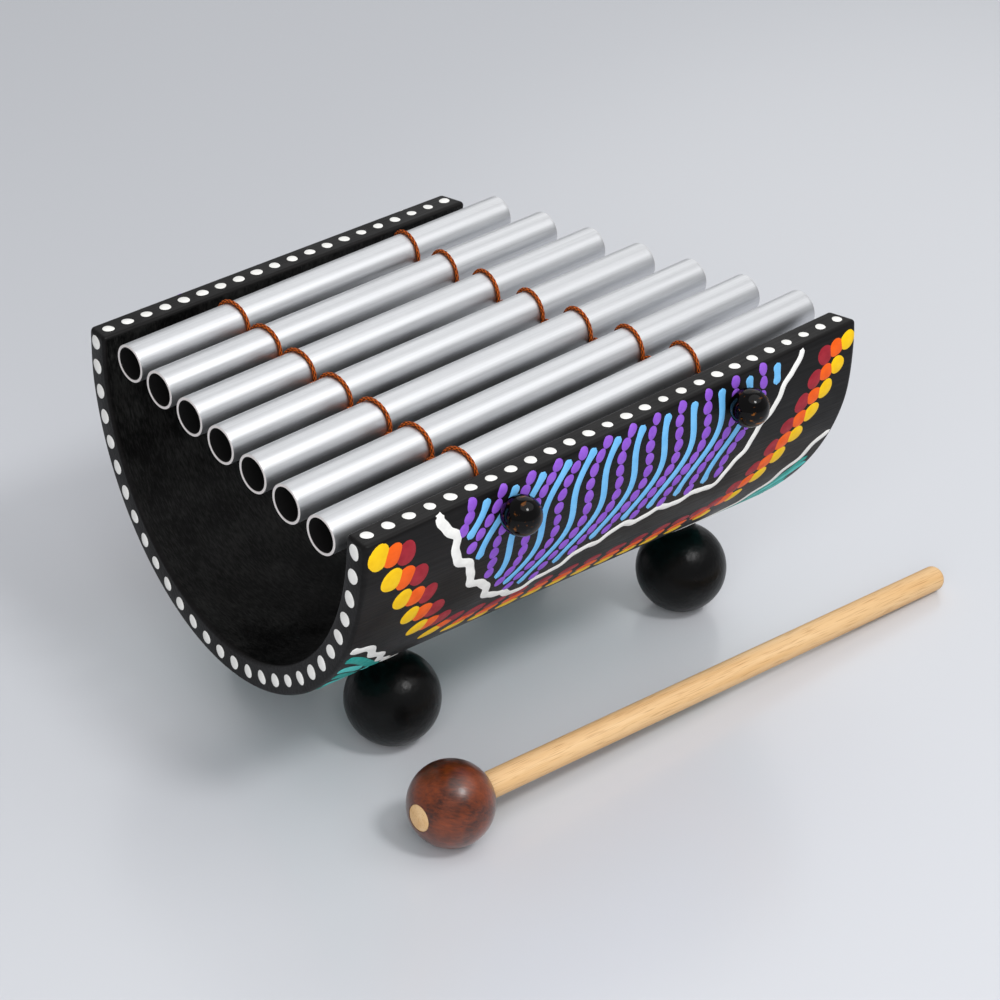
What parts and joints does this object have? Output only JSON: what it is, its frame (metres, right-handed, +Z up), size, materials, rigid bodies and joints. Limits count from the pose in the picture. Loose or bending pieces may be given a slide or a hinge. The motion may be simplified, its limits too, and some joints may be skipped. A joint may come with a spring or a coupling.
{
  "type": "tube_metallophone",
  "caption": "Small tube metallophone: aluminium tubes hung on twined rust-orange cords across a black painted half-culm bamboo trough on ball feet, with a wooden mallet",
  "frame": {"origin": "on the floor plane, under the middle of the box round trough, tubes, beads and mallet", "axes": "+X along the tubes from the front end to the rear end (the mallet handle points the same way), +Y across the tubes to the far wall with the short tubes, +Z up"},
  "size_m": [0.2588, 0.1932, 0.1213],
  "materials": {
    "painted_bamboo": "satin black paint with raised paint dots",
    "tube_aluminium": "satin, drawn tube",
    "braided_cord": "tight braid",
    "lacquered_bead": "gloss lacquer",
    "black_ball": "satin black paint",
    "stained_wood": "mottled red-brown lacquer",
    "pale_wood": "bare, smooth sanded"
  },
  "bodies": {
    "stand": {"trough": "painted_bamboo", "front_cord_a": "braided_cord", "front_cord_b": "braided_cord", "rear_cord_a": "braided_cord", "rear_cord_b": "braided_cord", "bead_near_front": "lacquered_bead", "bead_near_rear": "lacquered_bead", "bead_far_front": "lacquered_bead", "bead_far_rear": "lacquered_bead", "foot_near_front": "black_ball", "foot_near_rear": "black_ball", "foot_far_front": "black_ball", "foot_far_rear": "black_ball", "dowel_near_front": "pale_wood", "dowel_near_rear": "pale_wood", "dowel_far_front": "pale_wood", "dowel_far_rear": "pale_wood"},
    "tube_1_body": {"tube_1": "tube_aluminium"},
    "tube_2_body": {"tube_2": "tube_aluminium"},
    "tube_3_body": {"tube_3": "tube_aluminium"},
    "tube_4_body": {"tube_4": "tube_aluminium"},
    "tube_5_body": {"tube_5": "tube_aluminium"},
    "tube_6_body": {"tube_6": "tube_aluminium"},
    "tube_7_body": {"tube_7": "tube_aluminium"},
    "mallet": {"mallet_head": "stained_wood", "mallet_handle": "pale_wood"}
  },
  "joints": [
    {"name": "tube_1_bob", "type": "slide", "parent": "stand", "child": "tube_1_body", "axis": [0, 0, 1], "range_m": [-0.003, 0.002], "stiffness_N_per_m": 400, "springref_m": 0.00035, "deforming": ["front_cord_a", "front_cord_b", "rear_cord_a", "rear_cord_b"]},
    {"name": "tube_2_bob", "type": "slide", "parent": "stand", "child": "tube_2_body", "axis": [0, 0, 1], "range_m": [-0.003, 0.002], "stiffness_N_per_m": 400, "springref_m": 0.00036, "deforming": ["front_cord_a", "front_cord_b", "rear_cord_a", "rear_cord_b"]},
    {"name": "tube_3_bob", "type": "slide", "parent": "stand", "child": "tube_3_body", "axis": [0, 0, 1], "range_m": [-0.003, 0.002], "stiffness_N_per_m": 400, "springref_m": 0.00038, "deforming": ["front_cord_a", "front_cord_b", "rear_cord_a", "rear_cord_b"]},
    {"name": "tube_4_bob", "type": "slide", "parent": "stand", "child": "tube_4_body", "axis": [0, 0, 1], "range_m": [-0.003, 0.002], "stiffness_N_per_m": 400, "springref_m": 0.00039, "deforming": ["front_cord_a", "front_cord_b", "rear_cord_a", "rear_cord_b"]},
    {"name": "tube_5_bob", "type": "slide", "parent": "stand", "child": "tube_5_body", "axis": [0, 0, 1], "range_m": [-0.003, 0.002], "stiffness_N_per_m": 400, "springref_m": 0.00041, "deforming": ["front_cord_a", "front_cord_b", "rear_cord_a", "rear_cord_b"]},
    {"name": "tube_6_bob", "type": "slide", "parent": "stand", "child": "tube_6_body", "axis": [0, 0, 1], "range_m": [-0.003, 0.002], "stiffness_N_per_m": 400, "springref_m": 0.00043, "deforming": ["front_cord_a", "front_cord_b", "rear_cord_a", "rear_cord_b"]},
    {"name": "tube_7_bob", "type": "slide", "parent": "stand", "child": "tube_7_body", "axis": [0, 0, 1], "range_m": [-0.003, 0.002], "stiffness_N_per_m": 400, "springref_m": 0.00045, "deforming": ["front_cord_a", "front_cord_b", "rear_cord_a", "rear_cord_b"]},
    {"name": "mallet_lift", "type": "slide", "parent": "stand", "child": "mallet", "axis": [0, -0.5, 0.866], "range_m": [0, 0.16]}
  ]
}
